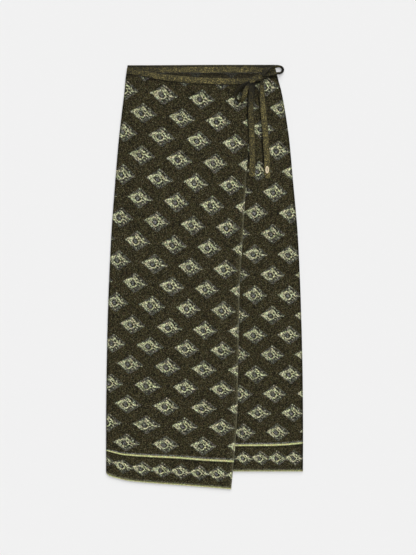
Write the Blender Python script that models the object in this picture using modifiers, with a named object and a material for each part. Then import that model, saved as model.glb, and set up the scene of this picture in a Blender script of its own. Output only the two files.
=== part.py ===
"""Knitted wrap skirt, laid flat on a table with its front up. Metres, +Z up, waist towards +Y.

A back and two fronts lie on each other. Each is a knitted wall with a ribbed band along its top.
The over front's band goes on into a tie, which is tied in a bow at the right hip.
Distances "down" are measured from the top edge of the back waistband towards the hem.
"""

import bmesh
import bpy
import numpy as np

# Lengths of the garment
TOTAL_LENGTH = 0.933  # top of the waistband to the low corner of the over front
BACK_LENGTH = 0.893  # top of the waistband to the back hem
HIDDEN_EDGE = -0.110  # x of the under front's own edge, beneath the over front

# Thicknesses
CLOTH = 0.0015  # jacquard knit
RIB = 0.0022  # ribbed band and tie, knitted double
GAP = 0.0003  # between neighbouring pieces
EDGE_ROUND = 0.0009  # how far in from an edge the cloth is rounded
EDGE_FLAT = 0.35  # share of the thickness left at the very edge

# Widths of the bands
BACK_BAND = 0.0168
FRONT_BAND = 0.0143
TIE = 0.0136

# Heights at which the layers rest
ON_BACK = CLOTH + GAP
ON_UNDER_FRONT = ON_BACK + CLOTH + GAP
ON_OVER_FRONT = ON_UNDER_FRONT + CLOTH + GAP
ON_BACK_BAND = RIB + GAP
ON_UNDER_BAND = ON_BACK + RIB + GAP
ON_RIGHT_CORNER = ON_BACK_BAND + RIB + GAP

# Side outline: down, left half width, right half width
SIDES = (
    (0.000, 0.1692, 0.1540),
    (0.018, 0.1722, 0.1585),
    (0.036, 0.1742, 0.1630),
    (0.055, 0.1758, 0.1682),
    (0.100, 0.1812, 0.1768),
    (0.165, 0.1886, 0.1862),
    (0.250, 0.1958, 0.1940),
    (0.385, 0.2056, 0.2056),
    (0.550, 0.2126, 0.2124),
    (0.700, 0.2156, 0.2158),
    (0.800, 0.2165, 0.2165),
    (0.940, 0.2165, 0.2160),
)

# Seam between the over front and its band: x, down
OVER_SEAM = (
    (-0.180, 0.0200),
    (-0.160, 0.0214),
    (-0.138, 0.0248),
    (-0.101, 0.0328),
    (-0.056, 0.0380),
    (-0.011, 0.0416),
    (0.033, 0.0430),
    (0.069, 0.0434),
    (0.110, 0.0426),
)

# Seam between the under front and its band: x, down
UNDER_SEAM = (
    (-0.120, 0.0462),
    (0.023, 0.0462),
    (0.069, 0.0450),
    (0.096, 0.0422),
    (0.111, 0.0382),
    (0.126, 0.0320),
    (0.144, 0.0264),
    (0.165, 0.0242),
)

# Wrap edge of the over front: down, x
WRAP_EDGE = (
    (0.030, 0.0957),
    (0.200, 0.0947),
    (0.248, 0.0915),
    (0.296, 0.0889),
    (0.384, 0.0836),
    (0.490, 0.0772),
    (0.648, 0.0740),
    (0.756, 0.0720),
    (0.833, 0.0674),
    (0.894, 0.0620),
    (0.935, 0.0582),
)

# Hem of the over front, rounded off at the left side: x, down
OVER_HEM = (
    (-0.2170, 0.8925),
    (-0.2155, 0.8975),
    (-0.2125, 0.9015),
    (-0.2050, 0.9050),
    (-0.1880, 0.9098),
    (-0.1660, 0.9148),
    (-0.1200, 0.9196),
    (-0.0640, 0.9242),
    (0.0000, 0.9286),
    (0.0600, 0.9330),
)

# Shares of the width and the length at which a panel has its inner grid lines
BACK_ACROSS = (0.05, 0.15, 0.26, 0.38, 0.5, 0.62, 0.74, 0.85, 0.95)
UNDER_ACROSS = (0.1, 0.24, 0.38, 0.5, 0.59, 0.66, 0.72, 0.77, 0.82, 0.87, 0.92, 0.96)
OVER_ACROSS = (0.008, 0.02, 0.042, 0.075, 0.115, 0.16, 0.21, 0.27, 0.34, 0.42, 0.51, 0.62, 0.74, 0.87)
BACK_ALONG = (0.01, 0.025, 0.05, 0.09, 0.13, 0.18, 0.24, 0.31, 0.4, 0.5, 0.61, 0.74, 0.87)
UNDER_ALONG = BACK_ALONG
OVER_ALONG = (
    (0.008, 0.02, 0.035, 0.06, 0.1, 0.15, 0.21, 0.29, 0.37, 0.46, 0.56, 0.67, 0.78, 0.88)
    + (0.935, 0.955, 0.968, 0.979, 0.989)
)

# Where the over front steps up over the under front, and down past the back hem
STEP_UP = (-0.178, -0.136)
STEP_DOWN = (0.8975, 0.9190)
BAND_SLOPE = (0.050, 0.085)

# Bands: x of each end, and rows of (x, height of the underside)
OVER_TIE_RISE = 0.0036  # the over front's band rises over the bow's ends beside the knot
UNDER_BAND_ENDS = (HIDDEN_EDGE, 0.1572)
UNDER_BAND_HEIGHTS = (
    (0.112, ON_BACK),
    (0.125, ON_BACK_BAND),
)
OVER_BAND_ENDS = (-0.1712, 0.0955)
OVER_BAND_HEIGHTS = (
    (-0.150, ON_BACK_BAND),
    (-0.118, ON_UNDER_BAND),
    (0.078, ON_UNDER_BAND),
    (0.0955, ON_UNDER_BAND + OVER_TIE_RISE),
)
BAND_STATIONS = 34

# Section of a strap: share of the width, from its middle, and share of the thickness there
STRAP_SECTION = (
    (-0.50, 0.30),
    (-0.46, 0.74),
    (-0.38, 1.00),
    (0.00, 1.00),
    (0.38, 1.00),
    (0.46, 0.74),
    (0.50, 0.30),
)

# Bow. Routes: x, down, rise of the lowest edge above the level that the strap lies on, roll in degrees
# (0 flat, 90 on its edge), share of the full width, which is gathered at the knot
KNOT_CENTRE = (0.1222, 0.0272)
KNOT_SIZE = (0.0195, 0.0165, 0.0085)
KNOT_PINCH = 0.16
OVER_TIE = (
    (0.0990, 0.0350, 0.0001, 0, 1.0),
    (0.1045, 0.0338, 0.0002, 0, 0.84),
    (0.1112, 0.0308, 0.0004, 0, 0.64),
)
LOOP_LEFT = (
    (0.0942, 0.0440, 0.0010, 166, 0.42),
    (0.0932, 0.0496, 0.0010, 160, 0.60),
    (0.0907, 0.0560, 0.0010, 153, 0.84),
    (0.0885, 0.0630, 0.0010, 148, 0.98),
    (0.0862, 0.0710, 0.0008, 140, 1.00),
    (0.0815, 0.0778, 0.0007, 125, 1.00),
    (0.0745, 0.0800, 0.0006, 108, 1.00),
    (0.0690, 0.0758, 0.0006, 84, 1.00),
    (0.0676, 0.0690, 0.0007, 66, 1.00),
    (0.0708, 0.0612, 0.0010, 56, 0.95),
    (0.0766, 0.0540, 0.0012, 50, 0.85),
    (0.0828, 0.0490, 0.0012, 44, 0.68),
    (0.0880, 0.0459, 0.0010, 38, 0.50),
)
LOOP_RIGHT = (
    (0.1344, 0.0218, 0.0096, 170, 0.60),
    (0.1392, 0.0136, 0.0082, 150, 0.74),
    (0.1450, 0.0082, 0.0068, 118, 0.76),
    (0.1510, 0.0054, 0.0056, 76, 0.66),
    (0.1575, 0.0038, 0.0040, 46, 0.56),
    (0.1637, 0.0035, 0.0016, 32, 0.48),
    (0.1690, 0.0051, 0.0006, 28, 0.44),
    (0.1716, 0.0093, 0.0004, 26, 0.44),
    (0.1703, 0.0139, 0.0004, 26, 0.44),
    (0.1656, 0.0171, 0.0022, 28, 0.42),
    (0.1594, 0.0188, 0.0054, 30, 0.44),
    (0.1530, 0.0201, 0.0056, 30, 0.50),
    (0.1470, 0.0211, 0.0053, 30, 0.58),
    (0.1408, 0.0226, 0.0053, 28, 0.60),
    (0.1342, 0.0258, 0.0052, 26, 0.56),
)
TAIL_LEFT = (
    (0.1060, 0.0424, 0.0006, -10, 0.88),
    (0.1050, 0.0470, 0.0004, -14, 0.95),
    (0.1036, 0.0550, 0.0001, -18, 1.00),
    (0.1024, 0.0700, 0.0000, -20, 1.00),
    (0.1016, 0.0950, 0.0000, -16, 1.00),
    (0.1028, 0.1250, 0.0000, -10, 1.00),
    (0.1042, 0.1650, 0.0000, -6, 1.00),
    (0.1050, 0.2050, 0.0000, -3, 1.00),
    (0.1042, 0.2450, 0.0000, -2, 1.00),
)
TAIL_RIGHT = (
    (0.1272, 0.0353, 0.0018, -24, 0.60),
    (0.1268, 0.0430, 0.0014, -22, 0.74),
    (0.1268, 0.0550, 0.0006, -18, 0.90),
    (0.1273, 0.0740, 0.0001, -14, 0.98),
    (0.1290, 0.1000, 0.0000, -12, 1.00),
    (0.1318, 0.1300, 0.0000, -8, 1.00),
    (0.1345, 0.1650, 0.0000, -4, 1.00),
    (0.1370, 0.2050, 0.0000, 0, 1.00),
    (0.1384, 0.2490, 0.0000, 0, 1.00),
)
LOOP_STEP = 0.0032
TIE_STEP = 0.0045

# Oval plate on the right tail: half width, half length, height above its back
PLATE_RINGS = (
    (0.0044, 0.0087, 0.0000),
    (0.0048, 0.0091, 0.0004),
    (0.0048, 0.0091, 0.0010),
    (0.0041, 0.0083, 0.0019),
    (0.0028, 0.0069, 0.0024),
    (0.0014, 0.0055, 0.0025),
    (0.0009, 0.0049, 0.0020),
)
PLATE_DOWN = 0.2297
PLATE_SIDES = 20

# Shading and the grid's fit to its curved edges
CLOTH_SHARP_ANGLE = 40
PLATE_SHARP_ANGLE = 50
FIT_PASSES = 6

# Colours (linear), roughness, metallic
GROUND = ((0.040, 0.036, 0.022), 0.85, 0.0)
OLIVE_GOLD = ((0.085, 0.074, 0.032), 0.65, 0.2)
PALE_GOLD = ((0.60, 0.50, 0.30), 0.32, 1.0)


def through(rows, at):
    """Value at a station, on a smooth curve through rows of (station, value), with no overshoot."""
    stations, values = np.array(rows, float).T
    steps = np.diff(stations)
    slopes = np.diff(values) / steps
    tangents = np.zeros(len(stations))
    tangents[0] = slopes[0]
    tangents[-1] = slopes[-1]
    for i in range(1, len(slopes)):
        if slopes[i - 1] * slopes[i] > 0:
            tangents[i] = 2 / (1 / slopes[i - 1] + 1 / slopes[i])
    i = np.clip(np.searchsorted(stations, at) - 1, 0, len(steps) - 1)
    t = np.clip((at - stations[i]) / steps[i], 0, 1)
    rise = (3 - 2 * t) * t * t
    bulge = t * (1 - t) * steps[i] * ((1 - t) * tangents[i] - t * tangents[i + 1])
    return values[i] + rise * (values[i + 1] - values[i]) + bulge


def left_side(down):
    return -through([(row[0], row[1]) for row in SIDES], down)


def right_side(down):
    return through([(row[0], row[2]) for row in SIDES], down)


def ramp(value, span):
    """0 before the span, 1 after it, and a smooth rise between."""
    t = np.clip((value - span[0]) / (span[1] - span[0]), 0, 1)
    return t * t * (3 - 2 * t)


def to_y(down):
    return TOTAL_LENGTH / 2 - down


def rounding(distance):
    """Share of the half thickness, this far in from an edge."""
    inward = np.clip(distance / EDGE_ROUND, 0, 1)
    return EDGE_FLAT + (1 - EDGE_FLAT) * np.sqrt(1 - (1 - inward) ** 2)


def grid_lines(shares):
    """Grid lines as (offset, share) pairs: three close to each edge, which round it, and the rest between."""
    near = (0, EDGE_ROUND / 3, EDGE_ROUND)
    lines = [(offset, 0) for offset in near]
    lines += [(EDGE_ROUND * (1 - 2 * share), share) for share in shares]
    lines += [(-offset, 1) for offset in reversed(near)]
    return np.array(lines).T


def material(name, finish):
    colour, roughness, metallic = finish
    made = bpy.data.materials.new(name)
    made.use_nodes = True
    shader = made.node_tree.nodes["Principled BSDF"]
    shader.inputs["Base Color"].default_value = (*colour, 1)
    shader.inputs["Roughness"].default_value = roughness
    shader.inputs["Metallic"].default_value = metallic
    return made


def place(name, mesh, finish, collection):
    obj = bpy.data.objects.new(name, mesh)
    mesh.materials.append(finish)
    collection.objects.link(obj)
    return obj


def wall(name, lower, upper, finish, collection):
    """A closed wall between two equal grids of points, lower[row][column] and upper[row][column]."""
    rows, columns = lower.shape[:2]
    form = bmesh.new()
    low = [[form.verts.new(point) for point in line] for line in lower]
    top = [[form.verts.new(point) for point in line] for line in upper]
    for r in range(rows - 1):
        for c in range(columns - 1):
            form.faces.new((top[r][c], top[r + 1][c], top[r + 1][c + 1], top[r][c + 1]))
            form.faces.new((low[r][c], low[r][c + 1], low[r + 1][c + 1], low[r + 1][c]))
    for r in range(rows - 1):
        for c in (0, columns - 1):
            form.faces.new((low[r][c], low[r + 1][c], top[r + 1][c], top[r][c]))
    for c in range(columns - 1):
        for r in (0, rows - 1):
            form.faces.new((low[r][c], low[r][c + 1], top[r][c + 1], top[r][c]))
    bmesh.ops.recalc_face_normals(form, faces=form.faces)
    mesh = bpy.data.meshes.new(name)
    form.to_mesh(mesh)
    form.free()
    mesh.shade_smooth()
    mesh.set_sharp_from_angle(angle=np.radians(CLOTH_SHARP_ANGLE))
    return place(name, mesh, finish, collection)


def panel(name, bounds, across, along, level, sewn_over, finish, collection):
    """A knitted panel between left, right, top and bottom bounds, with its underside at the given level.

    sewn_over holds, for the left and the right edge, whether it is sewn to what lies under it (1), to
    what lies over it (-1), or is free (0). A sewn edge is rounded only on its outer face, so that two
    make one fold.
    """
    left, right, top, bottom = bounds
    across_offset, across_share = grid_lines(across)
    along_offset, along_share = grid_lines(along)
    along_offset = along_offset[:, None]
    along_share = along_share[:, None]
    down = along_share * BACK_LENGTH + across_offset * 0
    for _ in range(FIT_PASSES):
        start = left(down)
        x = start + across_offset + across_share * (right(down) - start)
        start = top(x)
        down = start + along_offset + along_share * (bottom(x) - start)
    from_left = x - left(down)
    from_right = right(down) - x
    from_ends = np.minimum(down - top(x), bottom(x) - down)
    lower_share = rounding(from_ends)
    upper_share = rounding(from_ends)
    for distance, sewn in ((from_left, sewn_over[0]), (from_right, sewn_over[1])):
        if sewn <= 0:
            lower_share = np.minimum(lower_share, rounding(distance))
        if sewn >= 0:
            upper_share = np.minimum(upper_share, rounding(distance))
    middle = level(x, down) + CLOTH / 2
    lower = np.stack([x, to_y(down), middle - lower_share * CLOTH / 2], -1)
    upper = np.stack([x, to_y(down), middle + upper_share * CLOTH / 2], -1)
    return wall(name, lower, upper, finish, collection)


def route(rows, step):
    """Evenly spaced points on a smooth curve through a route's rows."""
    rows = np.array(rows, float)
    length = np.concatenate([[0], np.cumsum(np.linalg.norm(np.diff(rows[:, :2], axis=0), axis=1))])
    count = max(3, round(length[-1] / step) + 1)
    at = np.linspace(0, length[-1], count)
    columns = []
    slopes = np.gradient(rows, length, axis=0)
    i = np.clip(np.searchsorted(length, at) - 1, 0, len(length) - 2)
    span = length[i + 1] - length[i]
    t = (at - length[i]) / span
    for c in range(rows.shape[1]):
        first, last = rows[i, c], rows[i + 1, c]
        bulge = t * (1 - t) * span * ((1 - t) * slopes[i, c] - t * slopes[i + 1, c])
        columns.append(first + (3 - 2 * t) * t * t * (last - first) + bulge)
    return np.stack(columns, -1)


def strap(name, points, width, level, finish, collection):
    """A flat ribbed strap along points of (x, down, rise, roll, width share), with rounded edges."""
    x, down, rise, roll, share = points.T
    width = width * share
    turn = np.radians(roll)
    centre = np.stack([x, to_y(down), level + rise], -1)
    centre[:, 2] += np.abs(np.sin(turn)) * width / 2 + np.abs(np.cos(turn)) * RIB / 2
    forward = np.gradient(centre, axis=0)
    forward /= np.linalg.norm(forward, axis=1, keepdims=True)
    side = np.cross((0, 0, 1), forward)
    side /= np.linalg.norm(side, axis=1, keepdims=True)
    up = np.cross(forward, side)
    across = np.cos(turn)[:, None] * side + np.sin(turn)[:, None] * up
    face = np.cross(forward, across)
    offsets, shares = np.array(STRAP_SECTION).T
    line = centre[:, None] + (offsets[:, None] * width[:, None, None]) * across[:, None]
    thick = shares[:, None] * RIB / 2 * face[:, None]
    return wall(name, line - thick, line + thick, finish, collection)


def band_points(seam, ends, heights):
    """Points of a front's band that lies along a seam, on the waist side of it."""
    x = np.linspace(ends[0], ends[1], BAND_STATIONS)
    down = through(seam, x)
    slope = np.gradient(down, x)
    out = (FRONT_BAND / 2 + GAP) / np.sqrt(1 + slope**2)
    centre_x = x + slope * out
    centre_down = down - out
    return np.stack([centre_x, centre_down, through(heights, centre_x), x * 0, x * 0 + 1], -1)


def knot(name, finish, collection):
    """The tied knot: a soft lump from a coarse cage, waisted where the tie is pulled tight."""
    form = bmesh.new()
    bmesh.ops.create_cube(form, size=1)
    bmesh.ops.subdivide_edges(form, edges=form.edges, cuts=2, use_grid_fill=True)
    for vert in form.verts:
        waist = abs(vert.co.x) < 1 / 3 < abs(vert.co.y)
        vert.co.x *= KNOT_SIZE[0]
        vert.co.y *= KNOT_SIZE[1] * (1 - KNOT_PINCH * waist)
        vert.co.z *= KNOT_SIZE[2]
        vert.co.x += KNOT_CENTRE[0]
        vert.co.y += to_y(KNOT_CENTRE[1])
        vert.co.z += ON_RIGHT_CORNER + KNOT_SIZE[2] / 2
    mesh = bpy.data.meshes.new(name)
    form.to_mesh(mesh)
    form.free()
    mesh.shade_smooth()
    obj = place(name, mesh, finish, collection)
    soften = obj.modifiers.new("soften", "SUBSURF")
    soften.levels = 1
    soften.render_levels = 1
    return obj


def plate(name, tail_points, finish, collection):
    """The oval plate: rings of an oval that shrinks to a shallow slot, on the right tail."""
    nearest = int(np.argmin(np.abs(tail_points[:, 1] - PLATE_DOWN)))
    x = tail_points[nearest, 0]
    form = bmesh.new()
    angles = np.arange(PLATE_SIDES) * 2 * np.pi / PLATE_SIDES
    rings = []
    for half_width, half_length, height in PLATE_RINGS:
        z = ON_UNDER_FRONT + RIB + GAP + height
        ring = [(x + half_width * np.cos(a), to_y(PLATE_DOWN) + half_length * np.sin(a), z) for a in angles]
        rings.append([form.verts.new(point) for point in ring])
    for ring, following in zip(rings, rings[1:]):
        for i in range(PLATE_SIDES):
            j = (i + 1) % PLATE_SIDES
            form.faces.new((ring[i], ring[j], following[j], following[i]))
    form.faces.new(rings[0])
    form.faces.new(rings[-1])
    bmesh.ops.recalc_face_normals(form, faces=form.faces)
    mesh = bpy.data.meshes.new(name)
    form.to_mesh(mesh)
    form.free()
    mesh.shade_smooth()
    mesh.set_sharp_from_angle(angle=np.radians(PLATE_SHARP_ANGLE))
    return place(name, mesh, finish, collection)


def clear_scene():
    for obj in list(bpy.data.objects):
        bpy.data.objects.remove(obj, do_unlink=True)


def over_front_level(x, down):
    """Underside of the over front: on the back, then on the under front, then down on the table."""
    over_under = ramp(x, STEP_UP)
    level = ON_BACK + over_under * (ON_UNDER_FRONT - ON_BACK)
    level += over_under * (ON_UNDER_BAND - ON_UNDER_FRONT) * (1 - ramp(down, BAND_SLOPE))
    return level * (1 - ramp(down, STEP_DOWN))


def build_panels(ground, collection):
    panel(
        "back_panel",
        (left_side, right_side, lambda x: BACK_BAND + GAP + 0 * x, lambda x: BACK_LENGTH + 0 * x),
        BACK_ACROSS,
        BACK_ALONG,
        lambda x, down: 0 * x,
        (-1, -1),
        ground,
        collection,
    )
    panel(
        "under_front_panel",
        (
            lambda down: HIDDEN_EDGE + 0 * down,
            right_side,
            lambda x: through(UNDER_SEAM, x),
            lambda x: BACK_LENGTH + 0 * x,
        ),
        UNDER_ACROSS,
        UNDER_ALONG,
        lambda x, down: ON_BACK + 0 * x,
        (0, 1),
        ground,
        collection,
    )
    panel(
        "over_front_panel",
        (
            left_side,
            lambda down: through(WRAP_EDGE, down),
            lambda x: through(OVER_SEAM, x),
            lambda x: through(OVER_HEM, x),
        ),
        OVER_ACROSS,
        OVER_ALONG,
        over_front_level,
        (1, 0),
        ground,
        collection,
    )


def build_bands(rib, collection):
    middle = BACK_BAND / 2
    x = np.linspace(left_side(middle), right_side(middle), BAND_STATIONS)
    points = np.stack([x, x * 0 + middle, x * 0, x * 0, x * 0 + 1], -1)
    strap("back_waistband", points, BACK_BAND, 0, rib, collection)
    points = band_points(UNDER_SEAM, UNDER_BAND_ENDS, UNDER_BAND_HEIGHTS)
    strap("under_front_waistband", points, FRONT_BAND, 0, rib, collection)
    points = band_points(OVER_SEAM, OVER_BAND_ENDS, OVER_BAND_HEIGHTS)
    tie = route([points[-1], *(np.array(OVER_TIE) + (0, 0, OVER_BAND_HEIGHTS[-1][1], 0, 0))], TIE_STEP)
    strap("over_front_waistband", np.concatenate([points[:-1], tie]), FRONT_BAND, 0, rib, collection)


def build_bow(rib, gold, collection):
    knot("tie_knot", rib, collection)
    for name, rows, level, step in (
        ("bow_loop_left", LOOP_LEFT, ON_OVER_FRONT, LOOP_STEP),
        ("bow_loop_right", LOOP_RIGHT, 0, LOOP_STEP),
        ("tie_tail_left", TAIL_LEFT, ON_UNDER_FRONT, TIE_STEP),
        ("tie_tail_right", TAIL_RIGHT, ON_UNDER_FRONT, TIE_STEP),
    ):
        points = route(rows, step)
        strap(name, points, TIE, level, rib, collection)
    plate("tie_plate", points, gold, collection)


def main():
    clear_scene()
    collection = bpy.data.collections.new("wrap_skirt")
    bpy.context.scene.collection.children.link(collection)
    ground = material("jacquard_knit", GROUND)
    rib = material("olive_gold_rib", OLIVE_GOLD)
    gold = material("pale_gold_metal", PALE_GOLD)
    build_panels(ground, collection)
    build_bands(rib, collection)
    build_bow(rib, gold, collection)


main()
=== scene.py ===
import math
from functools import partial

import bpy
import numpy as np
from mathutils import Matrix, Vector


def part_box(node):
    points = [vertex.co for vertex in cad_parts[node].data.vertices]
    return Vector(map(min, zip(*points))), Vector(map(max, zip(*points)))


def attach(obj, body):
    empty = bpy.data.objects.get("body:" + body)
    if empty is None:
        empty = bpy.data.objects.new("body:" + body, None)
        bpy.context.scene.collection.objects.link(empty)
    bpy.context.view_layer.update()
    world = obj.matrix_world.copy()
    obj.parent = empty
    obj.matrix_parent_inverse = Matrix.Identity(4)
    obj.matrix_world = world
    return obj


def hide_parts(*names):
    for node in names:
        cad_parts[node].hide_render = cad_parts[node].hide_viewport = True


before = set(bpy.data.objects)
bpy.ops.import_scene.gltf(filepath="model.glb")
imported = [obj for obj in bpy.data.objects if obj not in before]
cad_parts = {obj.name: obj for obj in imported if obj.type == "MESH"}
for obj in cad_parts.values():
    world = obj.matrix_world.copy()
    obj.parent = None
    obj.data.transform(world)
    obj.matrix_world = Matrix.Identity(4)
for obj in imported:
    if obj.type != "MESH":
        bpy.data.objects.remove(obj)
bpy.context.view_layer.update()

bpy.ops.object.select_all(action="DESELECT")
print("frame loaded:", len(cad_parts), "CAD nodes")

# Lengths are metres. "down" is measured from the top edge of the back waistband towards the hem.
skirt = {
    "length": 0.933,
    "backLength": 0.893,
    "hiddenEdge": -0.110,    # the under front's edge, beneath the over front
    "cloth": 0.0015,    # thickness of the jacquard
    "rib": 0.0022,    # thickness of the bands and ties
    "gap": 0.0003,
    "edgeRound": 0.0009,
    "edgeFlat": 0.35,
    "backBand": 0.0168,
    "frontBand": 0.0143,
    "tie": 0.0136,
}
onBack = skirt["cloth"] + skirt["gap"]
onUnderFront = 2 * onBack
onOverFront = 3 * onBack
onBackBand = skirt["rib"] + skirt["gap"]
onUnderBand = onBack + onBackBand


def linear(code):
    # sRGB hex to linear RGBA
    parts = [int(code[i:i + 2], 16) / 255 for i in (1, 3, 5)]
    return (*[c / 12.92 if c <= 0.04045 else ((c + 0.055) / 1.055) ** 2.4 for c in parts], 1)


def setInputs(node, inputs):
    # inputs: socket name or number -> a value, an output, or a node whose first output is linked; or a
    # tuple of these for the sockets in their order
    if isinstance(inputs, tuple):
        inputs = dict(enumerate(inputs))
    for key, value in inputs.items():
        if isinstance(value, bpy.types.Node):
            value = value.outputs[0]
        if isinstance(value, bpy.types.NodeSocket):
            node.id_data.links.new(value, node.inputs[key])
        else:
            node.inputs[key].default_value = value


def addNode(tree, kind, inputs=None, **settings):
    # a kind in capitals is a Math node's operation
    if kind.isupper():
        kind, settings["operation"] = "Math", kind
    node = tree.nodes.new("ShaderNode" + kind)
    for key, value in settings.items():
        setattr(node, key, value)
    setInputs(node, inputs or {})
    return node


def newMaterial(name):
    material = bpy.data.materials.new(name)
    material.use_nodes = True
    tree = material.node_tree
    return material, partial(addNode, tree), tree.nodes["Principled BSDF"]


def fillRamp(node, stops, interpolation="LINEAR"):
    # stops: (position, colour) pairs, a colour being a grey number or linear RGBA
    ramp = node.color_ramp
    ramp.interpolation = interpolation
    while len(ramp.elements) > 1:
        ramp.elements.remove(ramp.elements[-1])
    for i, (position, colour) in enumerate(stops):
        element = ramp.elements[0] if i == 0 else ramp.elements.new(position)
        element.position = position
        element.color = colour if hasattr(colour, "__len__") else (colour, colour, colour, 1)
    return node


def between(values, tangents, span, i, t):
    # cubic from value i to the next, over a span of this length
    bulge = t * (1 - t) * span * ((1 - t) * tangents[i] - t * tangents[i + 1])
    return values[i] + (3 - 2 * t) * t * t * (values[i + 1] - values[i]) + bulge


def through(rows, at):
    # smooth curve through rows of (station, value), with no overshoot
    stations, values = np.array(rows, float).T
    steps = np.diff(stations)
    slopes = np.diff(values) / steps
    tangents = np.concatenate([slopes[:1], np.zeros(len(slopes) - 1), slopes[-1:]])
    for i in range(1, len(slopes)):
        if slopes[i - 1] * slopes[i] > 0:
            tangents[i] = 2 / (1 / slopes[i - 1] + 1 / slopes[i])
    i = np.clip(np.searchsorted(stations, at) - 1, 0, len(steps) - 1)
    return between(values, tangents, steps[i], i, np.clip((at - stations[i]) / steps[i], 0, 1))


def rampBetween(value, start, end):
    t = np.clip((value - start) / (end - start), 0, 1)
    return t * t * (3 - 2 * t)


def riseFrom(low, value, start, end):
    return low + (1 - low) * rampBetween(value, start, end)


def toY(down):
    return skirt["length"] / 2 - down


def finishPiece(obj, slotName, *nodes):
    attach(obj, "root")
    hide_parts(*nodes)
    obj.select_set(False)
    return obj


view = {
    "height": 3.0,    # camera above the floor, looking straight down
    "sensor": 36,    # millimetres
    "fieldHeight": 1.221,    # what the frame's height shows at the floor: 555 pixels of 2.2 mm
    "centreX": 0.0075,
    "centreY": -0.0003,
    "floor": 3.2,
    "floorGap": 0.0004,    # the floor lies this far below the cloth
    "paper": "#efefef",
    "sky": 0.16,
    # strength, degrees of lean from overhead towards +X and towards +Y, and degrees across
    "overhead": (1.80, 10, 6, 64),
    "key": (1.78, 14, 58, 42),
}


def buildStage():
    camera = bpy.data.cameras.new("camera")
    camera.lens = view["sensor"] * view["height"] / view["fieldHeight"]
    camera.sensor_width = view["sensor"]
    holder = bpy.data.objects.new("camera", camera)
    holder.location = (view["centreX"], view["centreY"], view["height"])
    bpy.context.collection.objects.link(holder)
    bpy.context.scene.camera = holder

    for name in ("overhead", "key"):
        strength, toRight, toTop, size = view[name]
        softbox = bpy.data.lights.new(name, "SUN")
        softbox.energy = strength
        softbox.angle = math.radians(size)
        lamp = bpy.data.objects.new(name, softbox)
        towards = Vector((math.tan(math.radians(toRight)), math.tan(math.radians(toTop)), 1))
        lamp.rotation_euler = towards.to_track_quat("Z", "Y").to_euler()
        bpy.context.collection.objects.link(lamp)

    world = bpy.data.worlds.new("studio")
    world.use_nodes = True
    sky = world.node_tree.nodes["Background"]
    setInputs(sky, {"Color": (1, 1, 1, 1), "Strength": view["sky"]})
    bpy.context.scene.world = world
    bpy.context.scene.view_settings.view_transform = "Standard"

    bpy.ops.mesh.primitive_plane_add(size=view["floor"], location=(0, 0, -view["floorGap"]))
    floor = bpy.context.object
    floor.name = "floor"
    bpy.ops.object.transform_apply(location=True, rotation=True, scale=True)
    # matt seamless background paper: even and nearly white
    paper, _, shader = newMaterial("backgroundPaper")
    setInputs(shader, {"Base Color": linear(view["paper"]), "Roughness": 0.9})
    floor.data.materials.append(paper)
    floor.select_set(False)
    print("stage ready")


buildStage()


# Stitches of the jacquard. A real one is about 1.1 x 0.9 mm: these are drawn half as big again to show.
knit = {
    "repeatWidth": 0.080,
    "repeatHeight": 0.090,
    "repeatWales": 48,    # stitches across a repeat
    "repeatCourses": 60,    # stitches up a repeat
    "motifWales": 36,
    "motifCourses": 30,    # half the repeat, because every other row of lozenges is shifted by half
    "chainWales": 24,
    "chainCourses": 24,
    "chainScale": 0.84,
    "chainShift": 3.6,    # stitches
    "chainStart": 9,    # course at which the chain begins, above the hem
    "lozengeStart": 47,    # course at which the lozenges begin
    "borderCourses": 64,    # courses that the plain stripes span
}
waleWidth = knit["repeatWidth"] / knit["repeatWales"]
courseHeight = knit["repeatHeight"] / knit["repeatCourses"]
yarns = ("ground", "dark", "slate", "core", "mist", "pale", "stripe", "stripeEdge")
yarnStep = 1 / len(yarns)    # a chart gives each stitch its yarn as a share: 0, 1 or more of these steps

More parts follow.
